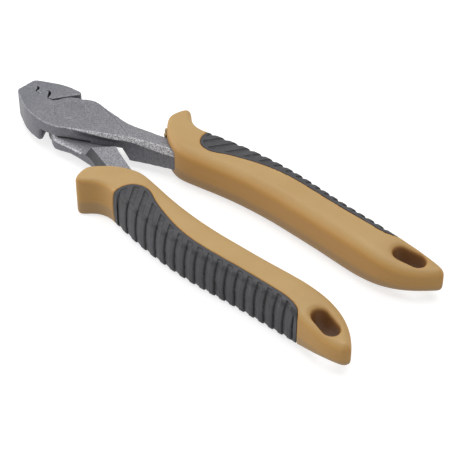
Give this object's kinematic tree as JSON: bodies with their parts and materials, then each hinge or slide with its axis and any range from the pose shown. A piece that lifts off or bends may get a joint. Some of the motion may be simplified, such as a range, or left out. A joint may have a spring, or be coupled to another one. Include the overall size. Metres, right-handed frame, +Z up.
{
  "type": "crimping pliers",
  "caption": "Lap-jointed crimping pliers with a toothed jaw over a cupped jaw, and guarded handles with a ribbed soft grip and a lanyard hole.",
  "frame": {"origin": "middle of the closed pliers' length and width, on the surface that they lie on", "axes": "+X along the pliers from the jaws to the handle ends, +Y towards the first lever's handle, +Z up, along the rivet's axis"},
  "size_m": [0.1732, 0.0544, 0.0158],
  "materials": {
    "forged_steel": "blasted, satin",
    "tan_sleeve": "matt moulded",
    "soft_grip": "matt soft-touch"
  },
  "bodies": {
    "first_lever": {"jaw_lever_a": "forged_steel", "pivot_rivet": "forged_steel", "handle_a": "tan_sleeve", "grip_inlay_a": "soft_grip"},
    "second_lever": {"jaw_lever_b": "forged_steel", "handle_b": "tan_sleeve", "grip_inlay_b": "soft_grip"}
  },
  "joints": [
    {"name": "jaw_hinge", "type": "hinge", "parent": "first_lever", "child": "second_lever", "pos_m": [-0.06315, 0, 0.0079], "axis": [0, 0, -1], "range_deg": [0, 22]}
  ]
}
